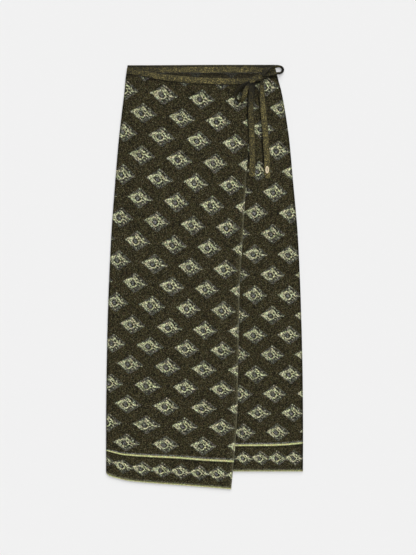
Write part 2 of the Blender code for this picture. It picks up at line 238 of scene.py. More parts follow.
# The lozenge: its half width and height, and the bars laid on it in turn, all in millimetres from its
# centre. After the name of their yarn come bars: the two ends and the width of each.
lozenge = {"halfWidth": 29.0, "halfHeight": 22.2}
bars = (
    ("dark", (0.9, 0.5, 1.5, -3.5, 3.2), (-8.8, -1.1, -8.4, -4.1, 2.2), (-3.5, -5.8, -0.4, -5.0, 1.8)),
    ("core", (-5.4, -0.7, -3.6, -2.8, 5.0)),
    ("slate", (-30.4, 0.6, -26.0, 0.2, 2.0)),
    ("mist", (-26.2, 0.2, -22.4, -0.1, 2.2), (-24.4, 2.3, -19.5, 4.8, 2.0), (-18.2, 0.5, -12.5, -6.7, 4.4),
        (-15.6, 2.3, -11.4, -4.1, 4.4)),
    ("pale", (-21.4, -0.7, -18.0, 2.7, 2.6), (-19.0, 3.5, -12.7, 5.8, 4.2), (-13.1, 6.0, -7.7, 8.7, 2.4),
        (-7.7, 8.9, -3.1, 8.0, 2.2), (-3.1, 8.0, 0.6, 4.0, 2.4), (0.6, 4.0, 4.0, 0.6, 2.2),
        (4.0, 0.6, 4.8, -3.3, 2.4), (4.8, -3.3, -0.3, -8.4, 2.8), (-0.3, -8.6, -6.3, -9.4, 2.4),
        (-20.6, -1.0, -15.3, -5.9, 2.4), (-15.3, -5.9, -11.9, -9.9, 2.4)),
    ("mist", (-11.9, -10.1, -6.1, -11.0, 2.0)),
    ("pale", (-13.2, 0.0, -10.3, -5.6, 2.0), (-10.3, -5.6, -6.3, -8.8, 2.2)),
    ("mist", (-12.6, 1.6, -9.5, 4.6, 2.0), (-9.5, 5.2, -4.7, 5.7, 1.8)),
    ("slate", (-8.6, 3.1, -4.2, 3.1, 2.0)),
    ("mist", (-3.5, 11.0, 0.1, 8.6, 2.4), (-3.7, 14.4, -1.1, 13.5, 2.2)),
    ("pale", (-1.1, 13.3, 2.5, 9.7, 2.4), (2.5, 8.9, 5.9, 6.7, 3.6), (6.1, 5.6, 9.2, 2.3, 2.8),
        (4.6, 1.5, 8.0, 2.7, 1.8), (9.6, 1.4, 13.0, -1.2, 3.6), (13.0, -1.4, 17.6, -2.1, 3.0)),
    ("mist", (17.6, -1.7, 25.6, -2.3, 2.4)),
    ("pale", (5.2, -3.9, 9.6, -3.8, 2.2)),
    ("mist", (9.6, -4.2, 13.1, -7.6, 2.2), (11.0, 3.3, 13.3, 6.2, 2.6), (13.6, 2.4, 15.4, 1.1, 2.0),
        (3.6, 17.8, 6.2, 15.6, 1.8), (10.3, 12.0, 12.1, 10.5, 1.6), (6.1, -9.6, 7.9, -10.9, 2.2),
        (-2.5, -14.1, -1.6, -16.5, 2.0), (-6.5, -11.4, -5.3, -12.3, 1.6), (-1.6, 20.7, 0.0, 19.0, 2.0)),
    ("dark", (2.6, 4.5, 4.8, 3.7, 2.0), (7.2, -0.8, 8.4, -1.7, 2.2), (12.0, -4.1, 13.3, -4.8, 1.4),
        (5.9, -6.4, 7.7, -7.3, 2.0), (4.1, 13.2, 9.7, 8.0, 2.0), (17.6, 2.9, 18.8, 0.3, 2.2),
        (-2.3, -12.7, 0.5, -12.4, 1.4)),
)

# Courses above the hem at which a plain stripe starts, and its yarn
hemStripes = (
    (0, "stripe"), (1, "stripeEdge"), (3, "slate"), (4, "ground"),
    (38, "dark"), (40, "stripeEdge"), (41, "stripe"), (43, "stripeEdge"), (44, "core"), (45, "slate"),
    (46, "ground"),
)

# Two tones for each yarn: a stitch lies between them
faceTones = {
    "ground": ("#060502", "#4f4930"),
    "dark": ("#090804", "#353020"),
    "slate": ("#0a0a07", "#706f62"),
    "core": ("#222220", "#9c9d95"),
    "mist": ("#26261d", "#d6d8b2"),
    "pale": ("#43462a", "#ffffce"),
    "stripe": ("#aeae78", "#eeeeb2"),    # a smoother yarn
    "stripeEdge": ("#4c4c33", "#85855f"),
}
reverseTones = {
    **dict.fromkeys(("ground", "dark"), ("#100e08", "#47412d")),
    **dict.fromkeys(("slate", "core"), ("#161610", "#504f45")),
    "mist": ("#1e1e16", "#5c5c4e"),
    **dict.fromkeys(("pale", "stripe", "stripeEdge"), ("#24241a", "#63634c")),
}


def chartOf(wales, courses, scale):
    # yarn number of each stitch, course by course from the bottom
    x = (np.arange(wales) + 0.5 - wales / 2) * waleWidth * 1000 / scale
    y = (np.arange(courses)[:, None] + 0.5 - courses / 2) * courseHeight * 1000 / scale
    inside = abs(x) / lozenge["halfWidth"] + abs(y) / lozenge["halfHeight"] <= 1
    chart = np.where(inside, yarns.index("slate"), yarns.index("ground"))
    for yarn, *sameYarn in bars:
        for x0, y0, x1, y1, width in sameYarn:
            runX, runY = x1 - x0, y1 - y0
            share = np.clip(((x - x0) * runX + (y - y0) * runY) / (runX ** 2 + runY ** 2), 0, 1)
            away = np.hypot(x - x0 - share * runX, y - y0 - share * runY)
            chart[away <= width / 2] = yarns.index(yarn)
    return chart.tolist()


motifChart = chartOf(knit["motifWales"], knit["motifCourses"], 1)
chainChart = chartOf(knit["chainWales"], knit["chainCourses"], knit["chainScale"])
print("charts drawn:", len(motifChart), "and", len(chainChart), "courses")


def chartNodes(add, chart, across, course):
    # adds up the courses of a chart: one ramp for each, switched on at its own course
    total = 0.0
    for number, line in enumerate(chart):
        starts = [i for i, yarn in enumerate(line) if i == 0 or line[i - 1] != yarn]
        runs = [(i / len(line), line[i] * yarnStep) for i in starts]
        if len(runs) == 1 and runs[0][1] == 0:
            continue
        ramp = fillRamp(add("ValToRGB", {"Fac": across}), runs, "CONSTANT")
        here = add("COMPARE", (course, number, 0.4))
        total = add("MULTIPLY_ADD", (ramp, here, total))
    return total


def stitchNodes(add, u, v, wale, course):
    # the stitch that a point of the cloth is on, and the height of its two slanted arms
    acrossStitch = add("DIVIDE", (u, wale))
    waleNumber = add("FLOOR", (acrossStitch,))
    shareAcross = add("FRACT", (acrossStitch,))
    fromMiddle = add("SUBTRACT", (shareAcross, 0.5))
    fromMiddle = add("ABSOLUTE", (fromMiddle,))
    upStitch = add("DIVIDE", (v, course))
    upStitch = add("SUBTRACT", (upStitch, fromMiddle))
    courseNumber = add("FLOOR", (upStitch,))
    shareUp = add("FRACT", (upStitch,))
    rise = add("MULTIPLY", (shareUp, math.pi))
    rise = add("SINE", (rise,))
    rise = add("POWER", (rise, 0.6))
    arm = add("MULTIPLY", (fromMiddle, 2 * math.pi))
    arm = add("SINE", (arm,))
    arm = add("POWER", (arm, 0.5))
    height = add("MULTIPLY", (rise, arm))
    cell = add("CombineXYZ", (waleNumber, courseNumber))
    noise = add("TexWhiteNoise", {"Vector": cell}, noise_dimensions="2D")
    hues = add("TexWhiteNoise", {"Vector": cell})
    return waleNumber, courseNumber, height, noise.outputs["Value"], hues.outputs["Color"]


# The two knits. Clouds are scale, least and most light; spread places a stitch between its yarn's tones;
# relief is the bump's strength and distance.
jacquard = {
    "spread": ((0, 0.02), (0.3, 0.16), (0.6, 0.39), (0.85, 0.70), (1, 0.95)),
    "hueStray": 0.22,
    "clouds": (22.0, 1.08, 1.16),
    # lighter flecks of metallic yarn, partly the yarn's own colour and partly painted glint
    "fleckGlint": "#7e7a62",
    # painted highlight colour for the over front's free wrap edge
    "edge": "#a19f80",
    "metallic": 0.7,
    "roughness": 0.82,
    "specular": 0.1,
    "relief": (0.35, 0.0005),
}
rib = {
    "low": "#1e1a0c",
    "high": "#6f673d",
    "gold": "#8c8050",
    "goldShare": 0.12,
    "spread": ((0, 0.0), (0.4, 0.25), (0.75, 0.55), (1, 1.0)),
    "clouds": (60.0, 0.85, 1.15),
    "metallic": 0.8,
    "roughness": 0.75,
    "specular": 0.3,
    "relief": (0.5, 0.0006),
    "ridge": 0.5,    # height of the ridges between wales, against the stitches' own
}


def startKnit(name):
    material, add, shader = newMaterial(name)
    cloth = add("UVMap", uv_map="cloth")
    return material, add, shader, cloth, add("SeparateXYZ", (cloth,))


def uneven(add, look, cloth, colour, tone):
    # colour with the slow unevenness of the yarn's dye lot, and with the painted shade and light of its edges
    # and creases
    scale, low, high = look["clouds"]
    clouds = add("TexNoise", {"Vector": cloth, "Scale": scale, "Detail": 3.0}, noise_dimensions="2D")
    cloudy = add("MapRange", {
        "Value": clouds, "From Min": 0.3, "From Max": 0.7, "To Min": low, "To Max": high})
    light = add("MULTIPLY", (cloudy, tone))
    return add("Mix", {"Factor": 1.0, 6: colour, 7: light}, data_type="RGBA", blend_type="MULTIPLY")


def finishKnit(add, shader, look, colour, isMetal, height):
    # the metallic yarn's stitches are smoother than the rest
    metal = add("MULTIPLY", (isMetal, look["metallic"]))
    rough = add("MULTIPLY_ADD", (isMetal, -0.4, look["roughness"]))
    strength, distance = look["relief"]
    bump = add("Bump", {"Strength": strength, "Distance": distance, "Height": height})
    setInputs(shader, {
        "Base Color": colour.outputs[2], "Metallic": metal, "Roughness": rough, "Normal": bump,
        "IOR": 1.5, "Specular IOR Level": look["specular"]})


def jacquardMaterial(name, tones, glintShare, fleckGlintShare):
    # Fine-gauge jacquard knit of matt viscose with a metallic yarn run in. The stitches are soft and
    # dull, and a few of them glint.
    material, add, shader, cloth, place = startKnit(name)
    wale, course, height, noise, noiseColour = stitchNodes(
        add, place.outputs[0], place.outputs[1], waleWidth, courseHeight)

    # lozenges, every other row of them shifted by half a repeat
    motifWales, motifCourses = knit["motifWales"], knit["motifCourses"]
    repeat, start = knit["repeatWales"], knit["lozengeStart"]
    fromStart = add("SUBTRACT", (course, start))
    rowNumber = add("ADD", (fromStart, 0.5))
    rowNumber = add("DIVIDE", (rowNumber, motifCourses))
    rowNumber = add("FLOOR", (rowNumber,))
    motifCourse = add("MULTIPLY_ADD", (rowNumber, -motifCourses, fromStart))
    across = add("ADD", (wale, 0.5))
    across = add("MULTIPLY_ADD", (rowNumber, repeat / 2, across))
    across = add("FLOORED_MODULO", (across, repeat))
    across = add("ADD", (across, (motifWales - repeat) / 2))
    across = add("DIVIDE", (across, motifWales))
    inMotif = add("COMPARE", (across, 0.5, 0.5))
    inField = add("GREATER_THAN", (course, start - 0.5))
    inMotif = add("MULTIPLY", (inMotif, inField))
    lozenges = chartNodes(add, motifChart, across, motifCourse)

    # the chain of small lozenges, and the plain stripes
    chainWales, borderCourses = knit["chainWales"], knit["borderCourses"]
    chainCourse = add("SUBTRACT", (course, knit["chainStart"]))
    chainAcross = add("ADD", (wale, chainWales / 2 + 0.5 + knit["chainShift"]))
    chainAcross = add("FLOORED_MODULO", (chainAcross, chainWales))
    chainAcross = add("DIVIDE", (chainAcross, chainWales))
    chain = chartNodes(add, chainChart, chainAcross, chainCourse)
    upBorder = add("ADD", (course, 0.5))
    upBorder = add("DIVIDE", (upBorder, borderCourses))
    stripes = add("ValToRGB", {"Fac": upBorder})
    stops = [(at / borderCourses, yarns.index(yarn) * yarnStep) for at, yarn in hemStripes]
    fillRamp(stripes, stops, "CONSTANT")
    yarn = add("ADD", (stripes, chain))
    yarn = add("MULTIPLY_ADD", (lozenges, inMotif, yarn))
    yarn = add("ADD", (yarn, yarnStep / 2))

    # each stitch lies between its yarn's two tones
    low, high = (
        fillRamp(
            add("ValToRGB", {"Fac": yarn}),
            [(i * yarnStep, linear(tones[yarnName][side])) for i, yarnName in enumerate(yarns)],
            "CONSTANT",
        )
        for side in (0, 1)
    )
    spread = fillRamp(add("ValToRGB", {"Fac": noise}), jacquard["spread"])
    stitched = add("Mix", {"Factor": spread, 6: low, 7: high}, data_type="RGBA")

    # the two-tone yarn's hue strays a little from stitch to stitch
    strayed = add("Mix", {
        "Factor": jacquard["hueStray"], 6: stitched.outputs[2], 7: noiseColour},
        data_type="RGBA", blend_type="MULTIPLY")

    # flecks of the metallic yarn, half a stitch in size: a lighter yarn colour with a painted glint
    speckPlace = add("VectorMath", (cloth, (waleWidth / 2, courseHeight / 2, 1)), operation="DIVIDE")
    speckCell = add("VectorMath", (speckPlace,), operation="FLOOR")
    specks = add("TexWhiteNoise", {"Vector": speckCell}, noise_dimensions="2D")
    isFleckGlint = add("GREATER_THAN", (specks, 1 - fleckGlintShare))
    fleckGlinted = add("Mix", {
        "Factor": isFleckGlint, 6: strayed.outputs[2], 7: linear(jacquard["fleckGlint"])}, data_type="RGBA")

    # a tone above 1 is a painted highlight on a free edge, where its turned stitches would catch the light
    tone = add("Attribute", attribute_name="paintedShadeAndLight").outputs["Fac"]
    dark = add("MINIMUM", (tone, 1.0))
    shaded = uneven(add, jacquard, cloth, fleckGlinted.outputs[2], dark)
    lift = add("SUBTRACT", (tone, 1.0), use_clamp=True)
    shaded = add("Mix", {
        "Factor": lift, 6: shaded.outputs[2], 7: linear(jacquard["edge"])}, data_type="RGBA")

    # metallic yarn: a glint on a few stitches
    glint = add("SeparateColor", (noiseColour,))
    isGlint = add("GREATER_THAN", (glint.outputs[1], 1 - glintShare))
    finishKnit(add, shader, jacquard, shaded, isGlint, height)
    return material


def ribMaterial(name):
    # Close rib knit of olive viscose and gold metallic yarn: long wales that run with the band, with a
    # speckle of gold.
    material, add, shader, cloth, place = startKnit(name)
    _, _, height, noise, noiseColour = stitchNodes(
        add, place.outputs[1], place.outputs[0], waleWidth, courseHeight)
    spread = fillRamp(add("ValToRGB", {"Fac": noise}), rib["spread"])
    stitched = add("Mix", {
        "Factor": spread, 6: linear(rib["low"]), 7: linear(rib["high"])}, data_type="RGBA")
    parts = add("SeparateColor", (noiseColour,))
    isGold = add("GREATER_THAN", (parts.outputs[1], 1 - rib["goldShare"]))
    golden = add("Mix", {
        "Factor": isGold, 6: stitched.outputs[2], 7: linear(rib["gold"])}, data_type="RGBA")
    # painted shade of the bands, ties and knot
    tone = add("Attribute", attribute_name="paintedShadeAndLight").outputs["Fac"]
    shaded = uneven(add, rib, cloth, golden.outputs[2], tone)

    # the ridges between wales stand up from the stitches
    ribs = add("MULTIPLY", (place.outputs[1], math.pi / waleWidth))
    ribs = add("SINE", (ribs,))
    ridged = add("MULTIPLY_ADD", (ribs, rib["ridge"], height))
    finishKnit(add, shader, rib, shaded, isGold, ridged)
    return material


def plateMaterial():
    # Zinc alloy casting, plated pale gold and satin finished: soft highlights, faint brushed grain.
    material, add, shader = newMaterial("satinGoldPlate")
    place = add("TexCoord")
    # grain lines 0.25 mm apart and ten times as long
    grain = add("Mapping", {"Vector": place.outputs["Object"], "Scale": (4000, 400, 400)})
    brushed = add("TexNoise", {"Vector": grain, "Scale": 1.0, "Detail": 2.0})
    rough = add("MapRange", {"Value": brushed, "To Min": 0.44, "To Max": 0.56})
    bump = add("Bump", {"Strength": 0.05, "Distance": 0.0001, "Height": brushed})
    setInputs(shader, {
        "Base Color": linear("#cbbda0"), "Metallic": 1.0, "Roughness": rough, "Normal": bump})
    return material


jacquardFace = jacquardMaterial("jacquardFace", faceTones, glintShare=0.045, fleckGlintShare=0.016)
jacquardReverse = jacquardMaterial("jacquardReverse", reverseTones, glintShare=0.03, fleckGlintShare=0.008)
ribKnit = ribMaterial("oliveGoldRib")
satinGold = plateMaterial()
print("materials ready")


sides = (  # down, left half width, right half width
    (0.000, 0.1692, 0.1540), (0.018, 0.1722, 0.1585), (0.036, 0.1742, 0.1630), (0.055, 0.1758, 0.1682),
    (0.100, 0.1812, 0.1768), (0.165, 0.1886, 0.1862), (0.250, 0.1958, 0.1940), (0.385, 0.2056, 0.2056),
    (0.550, 0.2126, 0.2124), (0.700, 0.2156, 0.2158), (0.800, 0.2165, 0.2165), (0.940, 0.2165, 0.2160),
)
overSeam = (  # x, down
    (-0.180, 0.0200), (-0.160, 0.0214), (-0.138, 0.0248), (-0.101, 0.0328), (-0.056, 0.0380),
    (-0.011, 0.0416), (0.033, 0.0430), (0.069, 0.0434), (0.110, 0.0426),
)
underSeam = (  # x, down
    (-0.120, 0.0462), (0.023, 0.0462), (0.069, 0.0450), (0.096, 0.0422), (0.111, 0.0382),
    (0.126, 0.0320), (0.144, 0.0264), (0.165, 0.0242),
)
wrapEdge = (  # down, x
    (0.030, 0.0957), (0.200, 0.0947), (0.248, 0.0915), (0.296, 0.0889), (0.384, 0.0836), (0.490, 0.0772),
    (0.648, 0.0740), (0.756, 0.0720), (0.833, 0.0674), (0.894, 0.0620), (0.935, 0.0582),
)
overHem = (  # x, down
    (-0.2170, 0.8925), (-0.2155, 0.8975), (-0.2125, 0.9012), (-0.2050, 0.9045), (-0.1880, 0.9093),
    (-0.1660, 0.9140), (-0.1200, 0.9184), (-0.0640, 0.9226), (0.0000, 0.9275), (0.0600, 0.9325),
)


def leftSide(down):
    return -through([row[:2] for row in sides], down)


def rightSide(down):
    return through([(row[0], row[2]) for row in sides], down)


# Soft ridges in the laid cloth, which the layers share: x, down, half length, half width, lean in
# degrees from the length of the skirt, height
ridges = (
    (0.060, 0.300, 0.260, 0.020, 4, 0.0011),
    (-0.105, 0.420, 0.090, 0.026, -30, 0.0010),
    (0.020, 0.560, 0.150, 0.024, 10, 0.0009),
    (-0.150, 0.240, 0.120, 0.022, -14, 0.0008),
    (0.150, 0.330, 0.150, 0.024, 8, 0.0009),
    (0.120, 0.620, 0.180, 0.028, -6, 0.0009),
    (-0.060, 0.760, 0.160, 0.030, 6, 0.0010),
    (-0.020, 0.180, 0.080, 0.024, 40, 0.0007),
    (0.055, 0.820, 0.120, 0.018, 6, 0.0010),
    (0.185, 0.760, 0.110, 0.020, 2, 0.0008),
)

# Where they die away: below the bands, in from the side folds, and above the hem
calm = {"bands": (0.045, 0.110), "sides": (0, 0.030), "hem": (0.893, 0.860)}


def relief(x, down):
    total = 0 * x
    for centreX, centreDown, halfLength, halfWidth, lean, height in ridges:
        turn = math.radians(lean)
        along = (down - centreDown) * math.cos(turn) + (x - centreX) * math.sin(turn)
        across = (x - centreX) * math.cos(turn) - (down - centreDown) * math.sin(turn)
        total += height * np.exp(-(along / halfLength) ** 2 - (across / halfWidth) ** 2)
    total *= rampBetween(down, *calm["bands"])
    total *= rampBetween(np.minimum(x - leftSide(down), rightSide(down) - x), *calm["sides"])
    return total * rampBetween(down, *calm["hem"])


# Guide courses: their heights above the hem in the flat knit, then how far down each lies at the stations
guideHeights = (0.0320, 0.0625, 0.0925, 0.1825, 0.3625, 0.5425, 0.7225, 0.9025)
overStations = (-0.2147, -0.1751, -0.1200, -0.0583, 0.0053, 0.0647)
overCourses = (
    (0.8661, 0.8819, 0.8881, 0.8926, 0.8969, 0.9009),
    (0.8473, 0.8565, 0.8599, 0.8631, 0.8685, 0.8713),
    (0.8286, 0.8306, 0.8336, 0.8356, 0.8371, 0.8378),
    (0.7431, 0.7456, 0.7494, 0.7526, 0.7551, 0.7563),
    (0.5668, 0.5696, 0.5751, 0.5796, 0.5841, 0.5864),
    (0.3806, 0.3842, 0.3908, 0.3971, 0.4028, 0.4061),
    (0.1901, 0.1942, 0.2014, 0.2088, 0.2156, 0.2198),
    (0.0022, 0.0076, 0.0160, 0.0240, 0.0314, 0.0356),
)
overWales = (  # down, then where wales 0, 3 and 7 half repeats from the left lie
    (0.0400, -0.1767, -0.0444, 0.1198),
    (0.2000, -0.1804, -0.0542, 0.1034),
    (0.4000, -0.1899, -0.0666, 0.0878),
    (0.6000, -0.2023, -0.0773, 0.0788),
    (0.8000, -0.2154, -0.0841, 0.0790),
    (0.9300, -0.2173, -0.0859, 0.0777),
)
underStations = (0.080, 0.140, 0.175, 0.215)
underCourses = (
    (0.8638, 0.8638, 0.8638, 0.8630),
    (0.8362, 0.8358, 0.8345, 0.8305),
    (0.8083, 0.8077, 0.8074, 0.8064),
    (0.7241, 0.7238, 0.7236, 0.7234),
    (0.5505, 0.5510, 0.5512, 0.5515),
    (0.3708, 0.3721, 0.3728, 0.3736),
    (0.1862, 0.1884, 0.1896, 0.1910),
    (-0.0015, 0.0016, 0.0034, 0.0054),
)
underWales = (  # down, then where wales 2, 4 and 6 half repeats from the pattern's start lie
    (0.0400, 0.1369, 0.2157, 0.2945),
    (0.2000, 0.1218, 0.1997, 0.2776),
    (0.4000, 0.1110, 0.1877, 0.2644),
    (0.6000, 0.1108, 0.1864, 0.2620),
    (0.8000, 0.1231, 0.1976, 0.2721),
    (0.8930, 0.1336, 0.2076, 0.2816),
)
foldGather = 1.08    # the pattern is drawn together towards the side fold


def patternPlace(x, down, hemDown, stations, courses, wales, waleNumbers):
    # place in the flat knit of each point: (across, above the hem), in metres
    guides = [hemDown] + [through(list(zip(stations, row)), x) for row in courses]
    heights = [0.0, *guideHeights]
    v = 0 * x
    for i in range(len(guides) - 1):
        share = (guides[i] - down) / (guides[i] - guides[i + 1])
        share = np.clip(share, 0, 1 if i < len(guides) - 2 else None)
        v += share * (heights[i + 1] - heights[i])
    places = [through([(row[0], row[1 + i]) for row in wales], down) for i in range(3)]
    first = (x - places[0]) / (places[1] - places[0]) * (waleNumbers[1] - waleNumbers[0]) + waleNumbers[0]
    second = (x - places[1]) / (places[2] - places[1]) * (waleNumbers[2] - waleNumbers[1]) + waleNumbers[1]
    first = np.where(first < 1, 1 - (1 - first) * foldGather, first)
    return np.where(x < places[1], first, second) * (knit["repeatWidth"] / 2), v


# Stations of the bow's pieces, and of the over front's tie as far as the knot: x, down, rise above the
# strap's level, roll in degrees, share of the width, tone
# the tone in each row is painted shade along the strap
bow = {
    "overTie": (
        (0.0990, 0.0351, onUnderBand + 0.0037, 0, 1.00, 0.55),
        (0.1045, 0.0352, onUnderBand + 0.0038, 0, 0.80, 0.54),
        (0.1100, 0.0336, onUnderBand + 0.0040, 0, 0.62, 0.56),
        (0.1150, 0.0319, onUnderBand + 0.0043, 0, 0.52, 0.62),
    ),
    "bowLoopLeft": (
        (0.1010, 0.0385, 0.0006, 170, 0.50, 0.10), (0.0972, 0.0430, 0.0008, 165, 0.52, 0.14),
        (0.0935, 0.0490, 0.0010, 158, 0.66, 0.55), (0.0905, 0.0560, 0.0010, 152, 0.86, 1.00),
        (0.0885, 0.0630, 0.0010, 148, 0.98, 1.00), (0.0862, 0.0710, 0.0008, 140, 1.00, 1.00),
        (0.0815, 0.0778, 0.0007, 125, 1.00, 0.90), (0.0745, 0.0800, 0.0006, 108, 1.00, 0.60),
        (0.0690, 0.0758, 0.0006, 84, 1.00, 0.45), (0.0676, 0.0690, 0.0007, 66, 1.00, 0.40),
        (0.0708, 0.0612, 0.0010, 56, 0.95, 0.35), (0.0766, 0.0540, 0.0012, 50, 0.85, 0.30),
        (0.0840, 0.0475, 0.0012, 44, 0.72, 0.20), (0.0915, 0.0425, 0.0010, 38, 0.60, 0.12),
        (0.0985, 0.0385, 0.0008, 34, 0.50, 0.10),
    ),
    "bowLoopRight": (
        (0.1268, 0.0240, 0.0086, 172, 0.60, 0.25), (0.1330, 0.0163, 0.0086, 160, 0.72, 0.28),
        (0.1390, 0.0110, 0.0080, 134, 0.78, 0.36), (0.1450, 0.0070, 0.0068, 100, 0.76, 0.48),
        (0.1510, 0.0050, 0.0056, 66, 0.66, 0.70), (0.1575, 0.0036, 0.0040, 38, 0.50, 0.80),
        (0.1637, 0.0030, 0.0016, 22, 0.37, 0.52), (0.1692, 0.0045, 0.0006, 18, 0.35, 0.16),
        (0.1722, 0.0092, 0.0004, 18, 0.37, 0.05), (0.1709, 0.0143, 0.0004, 18, 0.35, 0.07),
        (0.1658, 0.0176, 0.0022, 20, 0.32, 0.22), (0.1594, 0.0190, 0.0054, 26, 0.36, 0.36),
        (0.1530, 0.0201, 0.0056, 30, 0.48, 0.46), (0.1470, 0.0208, 0.0054, 30, 0.56, 0.46),
        (0.1408, 0.0214, 0.0054, 28, 0.60, 0.46), (0.1330, 0.0226, 0.0052, 26, 0.58, 0.46),
    ),
    "tieTailLeft": (
        (0.1075, 0.0350, 0.0009, -8, 0.80, 0.12), (0.1062, 0.0400, 0.0009, -10, 0.88, 0.12),
        (0.1048, 0.0460, 0.0004, -14, 0.94, 0.12), (0.1034, 0.0550, 0.0001, -18, 1.00, 0.17),
        (0.1022, 0.0700, 0.0000, -20, 1.00, 0.30), (0.1014, 0.0950, 0.0000, -16, 1.00, 0.50),
        (0.1026, 0.1250, 0.0000, -10, 1.00, 0.66), (0.1042, 0.1650, 0.0000, -6, 1.00, 0.80),
        (0.1050, 0.2050, 0.0000, -3, 1.00, 0.80), (0.1042, 0.2450, 0.0000, -2, 1.00, 0.82),
    ),
    "tieTailRight": (
        (0.1252, 0.0340, 0.0010, -14, 0.58, 0.22), (0.1256, 0.0400, 0.0012, -16, 0.66, 0.36),
        (0.1262, 0.0550, 0.0006, -16, 0.82, 0.68), (0.1270, 0.0740, 0.0001, -14, 0.96, 0.84),
        (0.1290, 0.1000, 0.0000, -12, 1.00, 0.98), (0.1318, 0.1300, 0.0000, -8, 1.00, 1.02),
        (0.1345, 0.1650, 0.0000, -4, 1.00, 1.02), (0.1370, 0.2050, 0.0000, 0, 1.00, 1.00),
        (0.1384, 0.2490, 0.0000, 0, 1.00, 1.00),
    ),
}


# Shade that the creases hold. Beside the tails: left of the edge, half width, depth, and where it fades
crease = {"offset": 0.0008, "width": 0.0017, "depth": 0.80, "start": (0.034, 0.046), "end": 0.001}
loopShades = (  # in and round the left loop: x, down, half width, half height, depth
    (0.0765, 0.0660, 0.0075, 0.0120, 0.60),
    (0.0925, 0.0450, 0.0060, 0.0045, 0.75),
    (0.0885, 0.0810, 0.0055, 0.0050, 0.50),
)
bowShades = ((0.115, 0.046, 0.010, 0.016, 0.45),)    # beneath the bow


def besideTies(x, down):
    shade = 1 + 0 * x
    for name in ("tieTailLeft", "tieTailRight"):
        rows = [(row[1], row[0] - skirt["tie"] / 2 * row[4]) for row in bow[name]]
        edge = through(rows, down) - crease["offset"]
        last = rows[-1][0]
        deep = crease["depth"] * rampBetween(down, *crease["start"])
        deep *= rampBetween(down, last + crease["end"], last - crease["end"])
        shade *= 1 - deep * np.exp(-((x - edge) / crease["width"]) ** 2)
    return shade


def shadeIn(x, down, patches):
    shade = 1 + 0 * x
    for centreX, centreDown, halfWidth, halfHeight, depth in patches:
        across, along = (x - centreX) / halfWidth, (down - centreDown) / halfHeight
        shade *= 1 - depth * np.exp(-across ** 2 - along ** 2)
    return shade


def clothPiece(name, points, faces, uv, tone, materials):
    # closed mesh, with the pattern's place and the painted shade and light of each point
    mesh = bpy.data.meshes.new(name)
    mesh.from_pydata(points.tolist(), [], faces)
    corners = [point for face in faces for point in face]
    layer = mesh.uv_layers.new(name="cloth")
    layer.data.foreach_set("uv", uv[corners].astype(np.float32).reshape(-1))
    attribute = mesh.attributes.new("paintedShadeAndLight", "FLOAT", "POINT")
    attribute.data.foreach_set("value", tone.astype(np.float32))
    for material in materials:
        mesh.materials.append(material)
    obj = bpy.data.objects.new(name, mesh)
    bpy.context.collection.objects.link(obj)
    bpy.context.view_layer.objects.active = obj
    obj.select_set(True)
    bpy.ops.object.mode_set(mode="EDIT")
    bpy.ops.mesh.select_all(action="SELECT")
    bpy.ops.mesh.normals_make_consistent(inside=False)
    bpy.ops.object.mode_set(mode="OBJECT")
    return obj


def makeShell(name, lower, upper, lowerUv, upperUv, tone, materials):
    # wall between two equal grids of points; a second material goes on its lower face
    rows, columns = lower.shape[:2]
    count = rows * columns
    points = np.concatenate([upper.reshape(-1, 3), lower.reshape(-1, 3)])
    uv = np.concatenate([upperUv.reshape(-1, 2), lowerUv.reshape(-1, 2)])
    index = np.arange(count).reshape(rows, columns)
    a, b, c, d = index[:-1, :-1], index[1:, :-1], index[1:, 1:], index[:-1, 1:]
    top = np.stack([a, b, c, d], -1).reshape(-1, 4)
    bottom = np.stack([a, d, c, b], -1).reshape(-1, 4) + count
    rim = np.concatenate([index[:-1, 0], index[-1, :-1], index[:0:-1, -1], index[0, :0:-1]])
    following = np.roll(rim, -1)
    edge = np.stack([rim, rim + count, following + count, following], -1)
    faces = np.concatenate([top, bottom, edge])
    obj = clothPiece(name, points, faces.tolist(), uv, np.tile(tone.reshape(-1), 2), materials)
    if len(materials) > 1:
        inner = np.zeros(len(faces), np.int32)
        inner[len(top):len(top) + len(bottom)] = 1
        obj.data.polygons.foreach_set("material_index", inner)
    bpy.ops.object.shade_smooth_by_angle(angle=math.radians(50))
    obj.select_set(False)
    return obj


def gridLines(count):
    # offsets from both edges and shares between: close together at the rounded edges
    near = [skirt["edgeRound"] * share for share in (0, 0.25, 0.6, 1)]
    shares = np.linspace(0, 1, count)[1:-1]
    offsets = near + [skirt["edgeRound"] * (1 - 2 * s) for s in shares] + [-n for n in reversed(near)]
    return np.array(offsets), np.array([0] * len(near) + list(shares) + [1] * len(near))


def rounding(distance):
    # share of the full thickness at this distance from an edge
    inward = np.clip(distance / skirt["edgeRound"], 0, 1)
    return skirt["edgeFlat"] + (1 - skirt["edgeFlat"]) * np.sqrt(1 - (1 - inward) ** 2)


